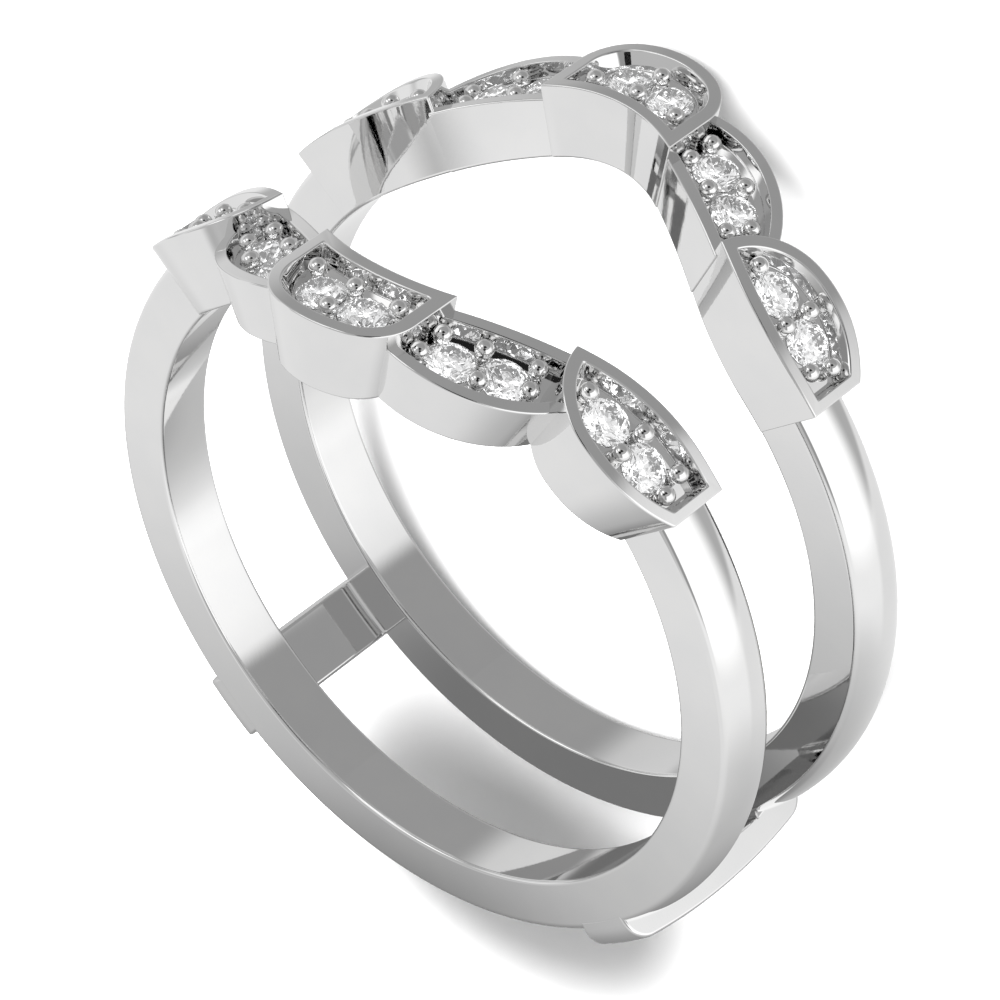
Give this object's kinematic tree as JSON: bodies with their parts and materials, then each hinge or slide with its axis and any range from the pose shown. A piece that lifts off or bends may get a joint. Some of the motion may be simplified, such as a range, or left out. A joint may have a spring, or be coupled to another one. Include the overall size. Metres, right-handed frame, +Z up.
{
  "type": "finger ring",
  "caption": "Two-band ring guard with domed bands, heads bowed apart round an opening for a solitaire, leaf-shaped bead-set cups of round stones and bridges under the base.",
  "frame": {"origin": "centre of the finger hole, on the finger axis and midway between the two bands", "axes": "+Z up from the surface that the ring lies on; the finger axis leans 10.93 degrees from +Z, towards -Y; the jewelled head is on the +Y side; X is the ring's mirror direction"},
  "size_m": [0.0202, 0.0222, 0.014],
  "materials": {
    "polished_metal": "polished white metal",
    "diamond": "clear brilliant-cut stone"
  },
  "bodies": {
    "root": {"ring_body": "polished_metal", "diamond_1": "diamond", "diamond_2": "diamond", "diamond_3": "diamond", "diamond_4": "diamond", "diamond_5": "diamond", "diamond_6": "diamond", "diamond_7": "diamond", "diamond_8": "diamond", "diamond_9": "diamond", "diamond_10": "diamond", "diamond_11": "diamond", "diamond_12": "diamond", "diamond_13": "diamond", "diamond_14": "diamond", "diamond_15": "diamond", "diamond_16": "diamond", "diamond_17": "diamond", "diamond_18": "diamond", "diamond_19": "diamond", "diamond_20": "diamond"}
  },
  "joints": []
}
